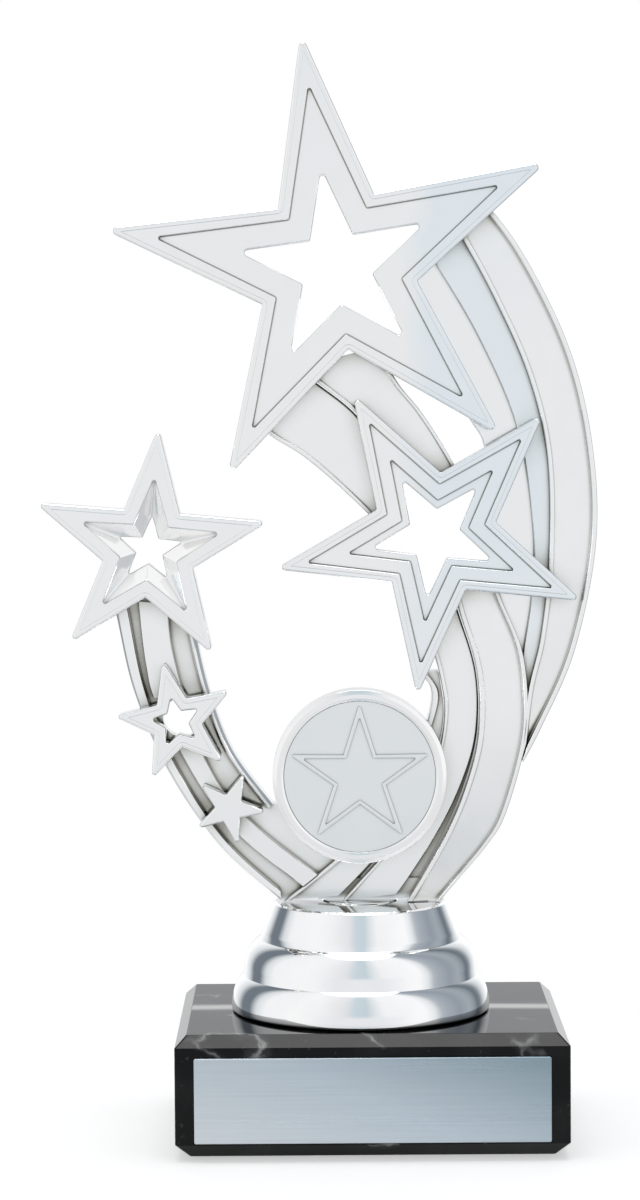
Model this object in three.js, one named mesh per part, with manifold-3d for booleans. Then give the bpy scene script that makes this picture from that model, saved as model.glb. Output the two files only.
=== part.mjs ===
// A star figure trophy: open stars and curved ribbons on a short plated riser, clamped to a
// marble block by one M6 stud. Millimetres, +Z up, +X to the right, +Y towards the back.
// The origin is the centre of the base pad's underside. The riser turns about the stud on the
// block, and the figure turns about the same stud on the riser.
import * as THREE from "three";
import { mergeVertices } from "three/addons/utils/BufferGeometryUtils.js";
import Module from "manifold-3d";

const wasm = await Module();
wasm.setup();

// ---- Driving dimensions -------------------------------------------------------------------

const pad = { width: 52, depth: 38, height: 0.5 };
const marble = {
  width: 64,
  depth: 50,
  height: 20,
  topChamfer: 1.9,
  bottomChamfer: 2.3,
  holeRadius: 4.75,
  counterboreRadius: 8.9,
  counterboreDepth: 8.5,
};
const plate = { width: 57.7, height: 13.9, thickness: 0.6, centreZ: 9.6 };
const plateFilm = { width: 56, height: 12.4, thickness: 0.15 };

// The stud stands a little left of the block's centre, inside the oversize hole.
const axisX = -1.6;
const turningGap = 0.2;
const stud = { radius: 2.9, nutBore: 3.05, washerBore: 3.3, clearance: 3.4 };
const plainWasher = { radius: 7, height: 1.6 };
const springWasher = { radius: 5.5, height: 1.6, split: 0.8 };
const nut = { acrossFlats: 10, height: 5 };

const riser = {
  height: 18.1, topRadius: 14.2, socketRadius: 6.2, socketDepth: 6.9, segments: 40,
};
const riserLowerBulge = {
  radius: 21.7, z: 2, reach: 4, rise: 4.6, under: 1.1, fromDegrees: 12, toDegrees: 60,
};
const riserUpperBulge = {
  radius: 19.55, z: 6.9, reach: 5.3, rise: 5.9, fromDegrees: 0, toDegrees: 60,
};

const foot = { radius: 5.9, depth: 6.6, bore: 2.95, boreTop: -0.9 };
const tenon = { left: -7, right: 11.5, back: 1.7, front: -0.3, height: 3.5 };
const mortiseClearance = 0.15;

// Heights of the figure's layers along Y: less is nearer the front.
const ribbonBack = 3;
const plateFront = -0.8;
const bandFront = -1.8;
const ribbonFront = -2.8;
const hookFront = -1.3;
const rimFront = -3.2;
const starBack = -3.4;

const pegEnd = 1.5;
const pegRoot = 0.5;
const pegClearance = 0.1;
const edgeClearance = 0.1;
const windowMargin = 0.3;
const cutterMargin = 0.01;

const splineSteps = 6;
const roundSegments = 48;
const pegSegments = 16;

// Each star: centre, outer tips, outer inward corners, and the turn of its first tip in degrees.
const bigStar = {
  x: -3.4, z: 105.5, tip: 37.24, corner: 13.56, turn: 26.2, front: -6.6,
  stepTip: 29.9, stepCorner: 11.05, step: 0.5, holeTip: 16, holeCorner: 6.05,
  pegs: [[18.5, 114.2, 1], [15.8, 87.5, 1], [0, 93.2, 0.8], [-12.5, 83.6, 1]],
};
const mediumStar = {
  x: 12.55, z: 61.35, tip: 25.8, corner: 10.43, turn: 47.7, front: -6.9,
  stepTip: 21.4, stepCorner: 8.6, step: 0.5, innerTip: 14.5, innerCorner: 5.9,
  holeTip: 10.4, holeCorner: 4.3,
  pegs: [[4.8, 66.8, 0.8], [8.6, 73.7, 0.8], [13, 45.8, 0.7], [20, 53.6, 0.7],
    [30.3, 53.4, 0.8], [25.8, 74.6, 0.8]],
};
const leftStar = {
  x: -34.5, z: 59.3, tip: 19.3, corner: 7.85, turn: 13, front: -8.5,
  faceTip: 11.87, faceCorner: 4.94, step: 0.9,
  slopeEnd: -6.1, slopeScale: 0.45, holeTip: 5.34, holeCorner: 2.22,
  pegs: [[-39.5, 50.6, 0.9], [-30.5, 50, 0.9]],
};
const smallStar = {
  x: -30.3, z: 30.7, tip: 9.75, corner: 4.3, turn: 30.3, front: -7,
  holeTip: 4, holeCorner: 2, window: { x: -29.5, z: 30.9, radius: 3.3 },
  pegs: [[-31.6, 36.4, 0.7], [-26.1, 26.9, 0.7]],
};
const tinyStar = {
  x: -21.7, z: 16.1, tip: 5.9, corner: 2.4, turn: 66.7, front: -6.4,
  pegs: [[-21.7, 16.1, 1]],
};
const holder = {
  x: 0, z: 21.6, radius: 14.4, recess: 12.6, front: -9, floor: -7.6, edge: 0.4,
  pegs: [[12.1, 18.2, 0.8], [4.3, 12.4, 1], [-8, 11.2, 0.7]],
};
const insert = {
  radius: 12.5, thickness: 0.8, ridge: 0.3, filmRadius: 11.5, film: 0.15,
  starTip: 11.7, starCorner: 4.5, innerTip: 9.3, innerCorner: 3.9, turn: 90,
};

// ---- The ribbons' edges, in the figure's own X and Z ----------------------------------------
// The figure's origin is on the stud's axis at the riser's top. Each edge runs downwards as one
// smooth curve through its points, and edges that two pieces share are used by both.

const crescentOuter = [[19, 119], [27.1, 108.5], [35, 92.6], [38.9, 76.8], [39.6, 60],
  [36, 41.9], [30.2, 28.6], [27.3, 23.2]];
const crescentBandSplit = [[14, 115.5], [17.5, 110.3], [22.6, 100.9], [28.3, 88],
  [31.5, 74.4], [31.8, 58], [30.4, 44.4], [28.3, 35.3], [27, 24]];
const crescentStep = [[10, 111], [13.1, 106.3], [20.5, 93.5], [26.7, 78.6], [29.2, 62],
  [28.9, 50.7], [27.3, 40.2], [27.2, 35.5]];
const crescentInner = [[10.6, 109], [9.2, 102], [10.5, 95], [14, 88], [18.9, 80.2],
  [21.2, 75.7], [22.4, 63.5], [23.3, 54.6], [23.4, 49], [26, 42], [27, 33], [26.6, 23]];

const upperLeftEdge = [[-17.5, 82], [-14.8, 78.2], [-9.5, 74.8], [-4.6, 70.8], [1.7, 64.8],
  [2.9, 63]];
const upperSplit = [[-10, 89.2], [-6.5, 86.6], [-0.9, 82.2], [3, 77.5], [6, 72.6]];
const upperRightEdge = [[3.5, 92.5], [6.8, 86.5], [10.4, 82], [13.7, 77], [17, 71.3]];

const lowerLeftEdge = [[10.8, 50], [11.9, 44], [13.7, 37], [14.3, 31.2], [13, 24], [9, 14],
  [3, 6.6], [-2.9, 0]];
const lowerSplit = [[15.5, 54.8], [16.6, 49.2], [19.7, 38.7], [20, 28.6], [18.1, 20.2],
  [14.3, 11], [8, 0]];
const lowerRightEdge = [[22.9, 54], [23.9, 50.3], [27.2, 42], [28.2, 33], [27.5, 25.2],
  [24.3, 14.3], [21.3, 9.3], [17.1, 4.3], [13.4, 0]];
const hookLeftEdge = [[10, 38.4], [12.1, 35.3], [11.4, 30.3], [8, 22], [2, 13], [-4.3, 6.7],
  [-12.7, 0]];

const sweepOuter = [[-41.6, 51.5], [-40.4, 48.4], [-37.6, 35.7], [-32.1, 22.3], [-23.4, 9.3],
  [-13.2, 0]];
const sweepCentreLeft = [[-36.8, 50.5], [-35.6, 39.9], [-33.7, 32.8], [-26.6, 19.2],
  [-20, 10.8], [-9.7, 2.39]];
const sweepCentreRight = [[-31.5, 50], [-30.6, 40.7], [-25.4, 23.6], [-18.3, 13.8],
  [-7, 4.55]];
const sweepInner = [[-28.8, 50.5], [-27.5, 46.5], [-25.1, 36], [-21.2, 25.5], [-14.5, 16.3]];
const sweepUnderHolder = [[-8, 15], [-5, 10], [-4.3, 6.7]];
const sweepTop = [[-35.2, 53.4]];
const sweepFoot = [[-12.7, 0]];

// Heights where a piece starts or stops along an edge that it shares.
const middleBandEnd = 35.4;
const hookTop = 39;
const outerRailEnd = 3;

const crescentOuterRim = 1.2;
const crescentInnerRim = 1.1;
const ribbonRim = 1.2;
const sweepOuterRail = 2;
const sweepInnerRail = 1.2;

// ---- Tools for outlines ---------------------------------------------------------------------

function point(x, z) {
  return new THREE.Vector2(x, z);
}

// A smooth curve through the given points, as a list of Vector2.
function smooth(points) {
  const curve = new THREE.SplineCurve(points.map(([x, z]) => point(x, z)));
  return curve.getPoints((points.length - 1) * splineSteps);
}

function straight(points) {
  return points.map(([x, z]) => point(x, z));
}

// The curve moved sideways: a positive distance moves a downward curve to the right.
function shifted(curve, distance) {
  return curve.map((p, i) => {
    const before = curve[Math.max(i - 1, 0)];
    const after = curve[Math.min(i + 1, curve.length - 1)];
    const along = after.clone().sub(before).normalize();
    return point(p.x - along.y * distance, p.y + along.x * distance);
  });
}

// The outline between a left and a right edge that both run downwards.
function between(left, right) {
  return new THREE.Shape([...left, ...[...right].reverse()]);
}

// A regular five-pointed star about a centre.
function starShape(x, z, tip, corner, turn) {
  const points = [];
  for (let i = 0; i < 10; i += 1) {
    const radius = i % 2 === 0 ? tip : corner;
    const angle = THREE.MathUtils.degToRad(turn + 36 * i);
    points.push(point(x + radius * Math.cos(angle), z + radius * Math.sin(angle)));
  }
  return new THREE.Shape(points);
}

// ---- Tools for solids -------------------------------------------------------------------------

// An outline in X and Z, extruded from its back to its front along Y.
function slab(shape, back, front) {
  const geometry = new THREE.ExtrudeGeometry(shape, {
    depth: back - front,
    bevelEnabled: false,
    curveSegments: roundSegments / 4,
  });
  return geometry.rotateX(Math.PI / 2).translate(0, back, 0);
}

// A slab whose back is its front drawn smaller about a centre.
function taperedSlab(shape, centre, back, front, backScale) {
  const geometry = slab(shape, back, front);
  const place = geometry.getAttribute("position");
  for (let i = 0; i < place.count; i += 1) {
    const scale = place.getY(i) > (back + front) / 2 ? backScale : 1;
    place.setX(i, centre.x + (place.getX(i) - centre.x) * scale);
    place.setZ(i, centre.z + (place.getZ(i) - centre.z) * scale);
  }
  return geometry;
}

// A solid of revolution about Z, from a closed or axis-to-axis profile of [radius, z].
function turnedAboutZ(profile, segments = roundSegments) {
  const points = profile.map(([r, z]) => point(r, z));
  return new THREE.LatheGeometry(points, segments).rotateX(Math.PI / 2);
}

// The same about a line along Y at (x, z), from a profile of [radius, y].
function turnedAboutY(profile, x, z, segments = roundSegments) {
  const points = profile.map(([r, y]) => point(r, y));
  return new THREE.LatheGeometry(points, segments).translate(x, 0, z);
}

function post(radius, bottom, top, segments = roundSegments / 2) {
  return turnedAboutZ([[0, bottom], [radius, bottom], [radius, top], [0, top]], segments);
}

function boxBetween(low, high) {
  const size = high.map((value, axis) => value - low[axis]);
  const middle = high.map((value, axis) => (value + low[axis]) / 2);
  return new THREE.BoxGeometry(...size).translate(...middle);
}

function toSolid(geometry) {
  const bare = geometry.clone();
  bare.deleteAttribute("normal");
  bare.deleteAttribute("uv");
  const merged = mergeVertices(bare, 1e-4);
  return new wasm.Manifold(
    new wasm.Mesh({
      numProp: 3,
      vertProperties: merged.getAttribute("position").array,
      triVerts: new Uint32Array(merged.index.array),
    }),
  );
}

function toGeometry(solid) {
  const mesh = solid.getMesh();
  const geometry = new THREE.BufferGeometry();
  const places = new THREE.BufferAttribute(mesh.vertProperties, mesh.numProp);
  geometry.setAttribute("position", places);
  geometry.setIndex(new THREE.BufferAttribute(mesh.triVerts, 1));
  return geometry;
}

function joined(...geometries) {
  return toGeometry(geometries.map(toSolid).reduce((all, next) => all.add(next)));
}

function cut(geometry, ...cutters) {
  const start = toSolid(geometry);
  return toGeometry(cutters.map(toSolid).reduce((left, cutter) => left.subtract(cutter), start));
}

function common(first, second) {
  return toGeometry(toSolid(first).intersect(toSolid(second)));
}

// ---- Materials ----------------------------------------------------------------------------------

function material(color, roughness, metalness) {
  return new THREE.MeshStandardMaterial({ color, roughness, metalness });
}

const platedSatin = () => material(0xdde1e4, 0.3, 1);
const platedBright = () => material(0xe6e9ec, 0.08, 1);
const blackMarble = () => material(0x141516, 0.15, 0);
const brushedPlate = () => material(0x9fb2c0, 0.35, 1);
const blackPad = () => material(0x161616, 0.9, 0);
const clearFilm = () => material(0xd9d6cc, 0.6, 0);
const zincSteel = () => material(0xb8bcc0, 0.4, 1);

function named(name, geometry, look) {
  const mesh = new THREE.Mesh(geometry, look);
  mesh.name = name;
  return mesh;
}

// ---- The base: pad, block, plate and fasteners -----------------------------------------------------

const blockBottom = pad.height;
const blockTop = blockBottom + marble.height;

function basePad() {
  const geometry = boxBetween(
    [-pad.width / 2, -pad.depth / 2, 0],
    [pad.width / 2, pad.depth / 2, pad.height],
  );
  return named("base_pad", geometry, blackPad());
}

// A block's side view, with its top and bottom corners cut off.
function chamferedSide(width) {
  const half = width / 2;
  const { topChamfer, bottomChamfer } = marble;
  return new THREE.Shape(straight([
    [-half + bottomChamfer, blockBottom],
    [half - bottomChamfer, blockBottom],
    [half, blockBottom + bottomChamfer],
    [half, blockTop - topChamfer],
    [half - topChamfer, blockTop],
    [-half + topChamfer, blockTop],
    [-half, blockTop - topChamfer],
    [-half, blockBottom + bottomChamfer],
  ]));
}

function marbleBase() {
  const frontView = slab(chamferedSide(marble.width), marble.depth / 2, -marble.depth / 2);
  const sideView = slab(chamferedSide(marble.depth), marble.width / 2, -marble.width / 2);
  const block = common(frontView, sideView.rotateZ(Math.PI / 2));
  const geometry = cut(
    block,
    post(marble.holeRadius, 0, blockTop + 1),
    post(marble.counterboreRadius, 0, blockBottom + marble.counterboreDepth),
  );
  return named("marble_base", geometry, blackMarble());
}

function engravingPlate() {
  const centreZ = blockBottom + plate.centreZ;
  const filmFront = -marble.depth / 2 - plateFilm.thickness;
  const film = boxBetween(
    [-plateFilm.width / 2, filmFront, centreZ - plateFilm.height / 2],
    [plateFilm.width / 2, -marble.depth / 2, centreZ + plateFilm.height / 2],
  );
  const sheet = boxBetween(
    [-plate.width / 2, filmFront - plate.thickness, centreZ - plate.height / 2],
    [plate.width / 2, filmFront, centreZ + plate.height / 2],
  );
  return [
    named("plate_adhesive", film, clearFilm()),
    named("engraving_plate", sheet, brushedPlate()),
  ];
}

function ring(outer, bore, bottom, top) {
  return cut(post(outer, bottom, top), post(bore, bottom - 1, top + 1));
}

// Washers and nut, stacked downwards from the counterbore's roof.
function baseFasteners() {
  const group = new THREE.Group();
  group.position.x = axisX;
  const roof = blockBottom + marble.counterboreDepth;
  const plainBottom = roof - plainWasher.height;
  const springBottom = plainBottom - springWasher.height;
  const nutBottom = springBottom - nut.height;
  const gap = boxBetween(
    [0, -springWasher.split / 2, springBottom - 1],
    [springWasher.radius + 1, springWasher.split / 2, plainBottom + 1],
  );
  const nutRadius = nut.acrossFlats / Math.sqrt(3);
  const nutBore = post(stud.nutBore, nutBottom - 1, springBottom + 1);
  group.add(
    named("plain_washer", ring(plainWasher.radius, stud.washerBore, plainBottom, roof),
      zincSteel()),
    named(
      "spring_washer",
      cut(ring(springWasher.radius, stud.washerBore, springBottom, plainBottom), gap),
      zincSteel(),
    ),
    named("hex_nut", cut(post(nutRadius, nutBottom, springBottom, 6), nutBore), zincSteel()),
  );
  return group;
}

// ---- The riser --------------------------------------------------------------------------------------

// Part of an ellipse that touches the bulge's greatest radius: [radius, z] from angle to angle.
function bulgeArc(bulge, reach, rise, fromDegrees, toDegrees, steps) {
  const points = [];
  for (let i = 0; i <= steps; i += 1) {
    const degrees = fromDegrees + ((toDegrees - fromDegrees) * i) / steps;
    const angle = THREE.MathUtils.degToRad(degrees);
    points.push([
      bulge.radius - reach * (1 - Math.cos(angle)),
      bulge.z + rise * Math.sin(angle),
    ]);
  }
  return points;
}

function riserShell() {
  const lower = riserLowerBulge;
  const upper = riserUpperBulge;
  const socketFloor = riser.height - riser.socketDepth;
  const outside = [
    ...bulgeArc(lower, lower.under, lower.z, -90, 0, 3),
    ...bulgeArc(lower, lower.reach, lower.rise, lower.fromDegrees, lower.toDegrees, 4),
    ...bulgeArc(upper, upper.reach, upper.rise, upper.fromDegrees, upper.toDegrees, 4),
    [16.5, 12.8],
    [14.5, 17.8],
    [riser.topRadius, riser.height],
  ];
  const socketAndTube = [
    [riser.socketRadius, riser.height],
    [riser.socketRadius, socketFloor],
    [stud.clearance, socketFloor],
    [stud.clearance, 0],
    [6, 0],
    [8.4, 9],
    [8.4, 15.6],
  ];
  const hollow = [
    [12.2, 15.6],
    [14.6, 11.5],
    [17.5, 6.5],
    [19.2, 2.5],
    [18.4, 0],
  ];
  const profile = [...outside, ...socketAndTube, ...hollow, outside[0]];
  return named("riser", turnedAboutZ(profile, riser.segments), platedBright());
}

// ---- The figure: foot and stud ------------------------------------------------------------------------

function tenonBox(clearance) {
  return boxBetween(
    [tenon.left - clearance, tenon.front - clearance, -clearance],
    [tenon.right + clearance, tenon.back + clearance, tenon.height + clearance],
  );
}

function figureFoot() {
  const bore = post(foot.bore, -foot.depth - 1, foot.boreTop);
  const boss = cut(post(foot.radius, -foot.depth, 0), bore);
  return named("figure_foot", joined(boss, tenonBox(0)), platedSatin());
}

function clampStud(bottom) {
  return named("clamp_stud", post(stud.radius, bottom, foot.boreTop - 0.2), zincSteel());
}

// ---- The figure: ribbons, crescent and sweep -----------------------------------------------------------

function pegs(piece, extraRadius, back) {
  return piece.pegs.map(([x, z, radius]) => {
    const r = radius + extraRadius;
    const root = starBack - pegRoot;
    return turnedAboutY([[0, root], [r, root], [r, back], [0, back]], x, z, pegSegments);
  });
}

// Every ribbon piece is drilled for the pegs that reach it and opened behind the stars' holes.
const pegHoles = [bigStar, mediumStar, leftStar, smallStar, tinyStar, holder]
  .flatMap((piece) => pegs(piece, pegClearance, pegEnd + 0.2));

// The ribbons' window behind a star's hole: the same star with a margin all round.
function windowBehind(star) {
  const scale = 1 + windowMargin / star.holeCorner;
  const shape = starShape(star.x, star.z, star.holeTip * scale, star.holeCorner * scale,
    star.turn);
  return slab(shape, ribbonBack + 1, starBack - 1);
}

// The small star's hole is open through the sweep: a round window that its arms nearly cover.
function roundWindow({ x, z, radius }) {
  const profile = [[0, starBack - 1], [radius, starBack - 1],
    [radius, ribbonBack + 1], [0, ribbonBack + 1]];
  return turnedAboutY(profile, x, z);
}

const starWindows = [windowBehind(bigStar), windowBehind(mediumStar), roundWindow(smallStar.window)];
const belowFigure = boxBetween([-60, -30, -30], [60, 30, 0]);

function ribbonPiece(name, ...layers) {
  const whole = layers.length > 1 ? joined(...layers) : layers[0];
  const openings = [...pegHoles, ...starWindows, tenonBox(mortiseClearance)];
  const geometry = cut(whole, ...openings, belowFigure);
  return named(name, geometry, platedSatin());
}

// The crescent's pieces stop beside the lower right ribbon, which they meet along its edge.
function crescentPiece(name, ...layers) {
  const ribbonEdge = smooth(lowerRightEdge);
  const ribbonSide = between(shifted(ribbonEdge, -4), shifted(ribbonEdge, edgeClearance));
  const ribbon = slab(ribbonSide, ribbonBack + 1, rimFront - 1);
  const piece = ribbonPiece(name, ...layers);
  piece.geometry = cut(piece.geometry, ribbon);
  return piece;
}

function crescent() {
  const outer = smooth(crescentOuter);
  const split = smooth(crescentBandSplit);
  const step = smooth(crescentStep);
  const inner = smooth(crescentInner);
  const innerRim = between(split, shifted(split, crescentInnerRim));
  const outerRim = between(shifted(outer, -crescentOuterRim), outer);
  return [
    crescentPiece("crescent_back", slab(between(inner, outer), ribbonBack, plateFront)),
    crescentPiece("crescent_middle_band",
      slab(between(step, split.filter((p) => p.y > middleBandEnd)), plateFront, bandFront)),
    crescentPiece(
      "crescent_outer_band",
      slab(between(split, outer), plateFront, ribbonFront),
      slab(innerRim, plateFront, rimFront),
      slab(outerRim, plateFront, rimFront),
    ),
  ];
}

function ribbonPair(prefix, left, middle, right) {
  return [
    ribbonPiece(prefix + "_ribbon_left", slab(between(left, middle), ribbonBack, bandFront)),
    ribbonPiece(
      prefix + "_ribbon_right",
      slab(between(middle, right), ribbonBack, ribbonFront),
      slab(between(middle, shifted(middle, ribbonRim)), ribbonBack, rimFront),
      slab(between(shifted(right, -ribbonRim), right), ribbonBack, rimFront),
    ),
  ];
}

function hookRibbon() {
  const left = smooth(hookLeftEdge);
  const right = smooth(lowerLeftEdge).filter((p) => p.y < hookTop);
  return ribbonPiece("hook_ribbon", slab(between(left, right), ribbonBack, hookFront));
}

function sweep() {
  const outer = smooth(sweepOuter);
  const inner = smooth(sweepInner);
  const innerEnd = [...inner, ...straight(sweepUnderHolder), ...straight(sweepFoot)];
  const centreLeft = smooth(sweepCentreLeft);
  const centreRight = smooth(sweepCentreRight);
  const { z, radius } = smallStar.window;
  const above = (curve) => curve.filter((p) => p.y > z + radius);
  const below = (curve) => curve.filter((p) => p.y < z - radius);
  const backShape = new THREE.Shape([
    ...outer,
    ...innerEnd.reverse(),
    ...straight(sweepTop),
  ]);
  const outerRailInside = shifted(outer, sweepOuterRail).filter((p) => p.y > outerRailEnd);
  const outerRail = between(outer, outerRailInside);
  const innerRail = between(shifted(inner, -sweepInnerRail), inner);
  return [
    ribbonPiece("sweep_back", slab(backShape, ribbonBack, plateFront)),
    ribbonPiece("sweep_outer_rail", slab(outerRail, plateFront, ribbonFront)),
    ribbonPiece("sweep_centre_ribbon_upper",
      slab(between(above(centreLeft), above(centreRight)), plateFront, ribbonFront)),
    ribbonPiece("sweep_centre_ribbon_lower",
      slab(between(below(centreLeft), below(centreRight)), plateFront, ribbonFront)),
    ribbonPiece("sweep_inner_rail", slab(innerRail, plateFront, ribbonFront)),
  ];
}

// ---- The figure: stars and medallion ----------------------------------------------------------------------

function starSlab(star, tip, corner, back, front) {
  return slab(starShape(star.x, star.z, tip, corner, star.turn), back, front);
}

function starBody(star, ...cutters) {
  const body = joined(
    starSlab(star, star.tip, star.corner, starBack, star.front),
    ...pegs(star, 0, pegEnd),
  );
  return cutters.length > 0 ? cut(body, ...cutters) : body;
}

function starHole(star) {
  return starSlab(star, star.holeTip, star.holeCorner, starBack + 1, star.front - 1);
}

// A recess in the face, down from the front by a number of steps.
function faceStep(star, tip, corner, steps) {
  return starSlab(star, tip, corner, star.front + steps * star.step, star.front - 1);
}

function stars() {
  const leftSlope = taperedSlab(
    starShape(leftStar.x, leftStar.z, leftStar.faceTip, leftStar.faceCorner, leftStar.turn),
    leftStar,
    leftStar.slopeEnd,
    leftStar.front + leftStar.step - cutterMargin,
    leftStar.slopeScale,
  );
  const solids = {
    big_star: starBody(
      bigStar,
      starHole(bigStar),
      faceStep(bigStar, bigStar.stepTip, bigStar.stepCorner, 1),
    ),
    medium_star: starBody(
      mediumStar,
      starHole(mediumStar),
      faceStep(mediumStar, mediumStar.stepTip, mediumStar.stepCorner, 1),
      faceStep(mediumStar, mediumStar.innerTip, mediumStar.innerCorner, 2),
    ),
    left_star: starBody(
      leftStar,
      starHole(leftStar),
      leftSlope,
      faceStep(leftStar, leftStar.faceTip, leftStar.faceCorner, 1),
    ),
    small_star: starBody(smallStar, starHole(smallStar)),
    tiny_star: starBody(tinyStar),
  };
  return Object.entries(solids).map(([name, solid]) => named(name, solid, platedSatin()));
}

function medallion() {
  const { x, z, radius, recess, front, floor, edge } = holder;
  const cup = turnedAboutY([
    [0, floor],
    [recess, floor],
    [recess, front],
    [radius - edge, front],
    [radius, front + edge],
    [radius, starBack],
    [0, starBack],
  ], x, z);
  const filmFront = floor - insert.film;
  const face = filmFront - insert.thickness;
  const film = turnedAboutY([
    [0, filmFront], [insert.filmRadius, filmFront], [insert.filmRadius, floor], [0, floor],
  ], x, z);
  const disc = turnedAboutY([
    [0, face], [insert.radius, face], [insert.radius, filmFront], [0, filmFront],
  ], x, z);
  const outlineOuter = starShape(x, z, insert.starTip, insert.starCorner, insert.turn);
  const outlineInner = starShape(x, z, insert.innerTip, insert.innerCorner, insert.turn);
  const outline = cut(
    slab(outlineOuter, face + 0.2, face - insert.ridge),
    slab(outlineInner, face + 1, face - 1),
  );
  return [
    named("medallion_holder", joined(cup, ...pegs(holder, 0, pegEnd)), platedSatin()),
    named("medallion_adhesive", film, clearFilm()),
    named("medallion_insert", joined(disc, outline), platedSatin()),
  ];
}

// ---- Assembly -----------------------------------------------------------------------------------------------

const trophy = new THREE.Group();
trophy.add(basePad(), marbleBase(), ...engravingPlate(), baseFasteners());

const riserGroup = new THREE.Group();
riserGroup.position.set(axisX, 0, blockTop + turningGap);
riserGroup.add(riserShell());

const figure = new THREE.Group();
figure.position.z = riser.height + turningGap;
const studBottom = pad.height + 0.6 - riserGroup.position.z - figure.position.z;
figure.add(
  figureFoot(),
  clampStud(studBottom),
  ...crescent(),
  ...ribbonPair("upper", smooth(upperLeftEdge), smooth(upperSplit), smooth(upperRightEdge)),
  ...ribbonPair("lower", smooth(lowerLeftEdge), smooth(lowerSplit), smooth(lowerRightEdge)),
  hookRibbon(),
  ...sweep(),
  ...stars(),
  ...medallion(),
);
riserGroup.add(figure);
trophy.add(riserGroup);

export default trophy;
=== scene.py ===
# A star figure trophy: five stars and curved ribbons on a plated riser and a marble block.
# Lengths are in millimetres, +X to the right, +Y to the back and +Z up, until MM turns them into
# Blender's metres. Outlines are drawn in the figure's own X and Z, whose origin is on the stud's
# axis at the figure's foot. Less Y is nearer the front.
import math

import bmesh
import bpy
from mathutils import Matrix, Vector


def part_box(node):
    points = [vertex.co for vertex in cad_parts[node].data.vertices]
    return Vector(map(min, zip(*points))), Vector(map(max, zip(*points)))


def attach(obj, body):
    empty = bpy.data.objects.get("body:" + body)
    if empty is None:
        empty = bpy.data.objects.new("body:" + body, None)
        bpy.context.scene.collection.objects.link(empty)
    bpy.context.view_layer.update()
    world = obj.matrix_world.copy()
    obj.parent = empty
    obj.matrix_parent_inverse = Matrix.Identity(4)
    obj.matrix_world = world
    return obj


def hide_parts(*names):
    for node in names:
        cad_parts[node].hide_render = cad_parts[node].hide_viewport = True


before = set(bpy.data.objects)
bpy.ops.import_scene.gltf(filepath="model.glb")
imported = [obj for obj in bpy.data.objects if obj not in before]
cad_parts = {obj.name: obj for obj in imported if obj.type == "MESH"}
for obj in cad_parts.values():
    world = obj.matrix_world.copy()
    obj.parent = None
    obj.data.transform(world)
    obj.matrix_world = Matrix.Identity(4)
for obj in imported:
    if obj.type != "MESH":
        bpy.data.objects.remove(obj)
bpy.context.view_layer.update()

MM = 0.001

# ---- Driving dimensions ---------------------------------------------------------------------------


def box_mm(node):
    """The low and high corners of a CAD node's box."""
    low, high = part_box(node)
    return Vector(low) / MM, Vector(high) / MM


riser_low, riser_high = box_mm("riser")
plate_low, plate_high = box_mm("engraving_plate")
block_low, block_high = box_mm("marble_base")

AXIS_X = (riser_low.x + riser_high.x) / 2
FIGURE_FLOOR = box_mm("lower_ribbon_left")[0].z

# Layers of the figure along Y.
RIBBON_BACK = 3
PLATE_FRONT = -0.8
BAND_FRONT = -1.8
RIBBON_FRONT = -2.8
RIM_FRONT = -3.2
STAR_BACK = -3.4

# The ribbons' edge rounding, the gap of a groove between two of them, and the fall of a ribbon
# from its left edge to its right one.
EDGE = 0.25
GROOVE = 0.14
TILT = 0.6

# Each star has its centre, its turn in degrees, its front along Y, and the outlines of its outer
# wall, of the steps down its face and of its hole. An outline is the reach of its rounded tips,
# the radius of its inward corners, and the rounding of the tips and of the corners. The left star
# has a recess instead of steps, sloped from its mouth to its throat, and the tiny one is solid.
BIG_STAR = {
    "x": -3.4, "z": 105.5, "turn": 26.2, "front": -6.6,
    "wall": (37.24, 13.56, 0.7, 0.25),
    "steps": [(29.6, 11.05, 0.35, 0.25)],
    "hole": (15.4, 6.05, 0.5, 0.5),
}
MEDIUM_STAR = {
    "x": 12.55, "z": 61.35, "turn": 47.7, "front": -6.9,
    "wall": (25.8, 10.43, 0.55, 0.25),
    "steps": [(21.2, 8.6, 0.3, 0.2), (14.3, 5.9, 0.3, 0.2)],
    "hole": (10.0, 4.3, 0.4, 0.4),
}
LEFT_STAR = {
    "x": -34.5, "z": 59.3, "turn": 13, "front": -8.5,
    "wall": (19.3, 7.85, 0.5, 0.2),
    "mouth": (11.6, 4.94, 0.35, 0.3),
    "throat": (5.3, 2.3, 0.2, 0.15),
}
SMALL_STAR = {
    "x": -30.3, "z": 30.7, "turn": 30.3, "front": -7,
    "wall": (9.75, 4.3, 0.45, 0.2),
    "steps": [],
    "hole": (3.9, 2.0, 0.3, 0.2),
}
TINY_STAR = {
    "x": -21.7, "z": 16.1, "turn": 66.7, "front": -6.4,
    "wall": (5.9, 2.4, 0.4, 0.15),
}

# The depth of a step down a star's face, and the rounding of a star's walls at their edges.
STAR_STEP = 0.5
STAR_EDGE = 0.32

# The small star's hole is open through the sweep, and its ribbon stops on both sides of it.
SWEEP_WINDOW = {"x": -29.5, "z": 30.9, "radius": 3.3}

HOLDER = {"x": 0, "z": 21.6, "radius": 14.4, "recess": 12.6, "front": -9, "floor": -7.6}
DISC = {"radius": 12.58, "back": -7.75, "front": -8.75, "ridge": 0.25}
DISC_STAR = {
    "x": HOLDER["x"], "z": HOLDER["z"], "turn": 90,
    "outside": (11.7, 4.5, 0.2, 0.1),
    "inside": (9.7, 3.85, 0.2, 0.1),
}

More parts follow.
